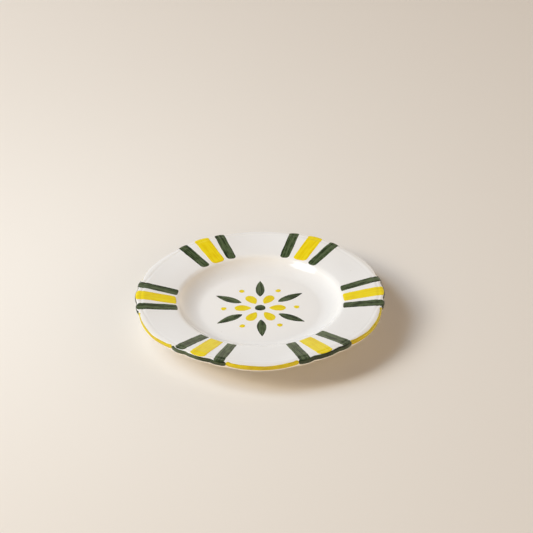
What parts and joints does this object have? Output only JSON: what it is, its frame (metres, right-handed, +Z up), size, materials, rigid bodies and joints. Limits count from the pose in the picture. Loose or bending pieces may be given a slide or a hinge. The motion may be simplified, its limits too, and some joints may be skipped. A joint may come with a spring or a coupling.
{
  "type": "painted ceramic plate",
  "caption": "Round glazed ceramic plate with a lobed, gently waved rim, a shallow well, a bare foot ring, brushed stripes across the flange, painted edge and a painted rosette.",
  "frame": {"origin": "middle of the foot ring's sole, where the plate's axis meets the table", "axes": "+Z up along the plate's axis; +X through the middle of one group of stripes"},
  "size_m": [0.221, 0.2222, 0.0258],
  "materials": {
    "bare_clay": "fired earthenware, matt",
    "white_glaze": "warm white glaze, glossy",
    "yellow_paint": "brushed yellow under a glossy glaze",
    "green_paint": "brushed dark green under a glossy glaze"
  },
  "bodies": {
    "root": {"clay_body": "bare_clay", "glaze_coat": "white_glaze", "glaze_base": "white_glaze", "yellow_stripe_1": "yellow_paint", "green_stripe_1_left": "green_paint", "green_stripe_1_right": "green_paint", "green_edge_1": "green_paint", "yellow_edge_1": "yellow_paint", "rosette_petal_1": "yellow_paint", "rosette_leaf_1": "green_paint", "rosette_berry_1": "yellow_paint", "yellow_stripe_2": "yellow_paint", "green_stripe_2_left": "green_paint", "green_stripe_2_right": "green_paint", "green_edge_2": "green_paint", "yellow_edge_2": "yellow_paint", "rosette_petal_2": "yellow_paint", "rosette_leaf_2": "green_paint", "rosette_berry_2": "yellow_paint", "yellow_stripe_3": "yellow_paint", "green_stripe_3_left": "green_paint", "green_stripe_3_right": "green_paint", "green_edge_3": "green_paint", "yellow_edge_3": "yellow_paint", "rosette_petal_3": "yellow_paint", "rosette_leaf_3": "green_paint", "rosette_berry_3": "yellow_paint", "yellow_stripe_4": "yellow_paint", "green_stripe_4_left": "green_paint", "green_stripe_4_right": "green_paint", "green_edge_4": "green_paint", "yellow_edge_4": "yellow_paint", "rosette_petal_4": "yellow_paint", "rosette_leaf_4": "green_paint", "rosette_berry_4": "yellow_paint", "yellow_stripe_5": "yellow_paint", "green_stripe_5_left": "green_paint", "green_stripe_5_right": "green_paint", "green_edge_5": "green_paint", "yellow_edge_5": "yellow_paint", "rosette_petal_5": "yellow_paint", "rosette_leaf_5": "green_paint", "rosette_berry_5": "yellow_paint", "yellow_stripe_6": "yellow_paint", "green_stripe_6_left": "green_paint", "green_stripe_6_right": "green_paint", "green_edge_6": "green_paint", "yellow_edge_6": "yellow_paint", "rosette_petal_6": "yellow_paint", "rosette_leaf_6": "green_paint", "rosette_berry_6": "yellow_paint", "rosette_heart": "green_paint"}
  },
  "joints": []
}
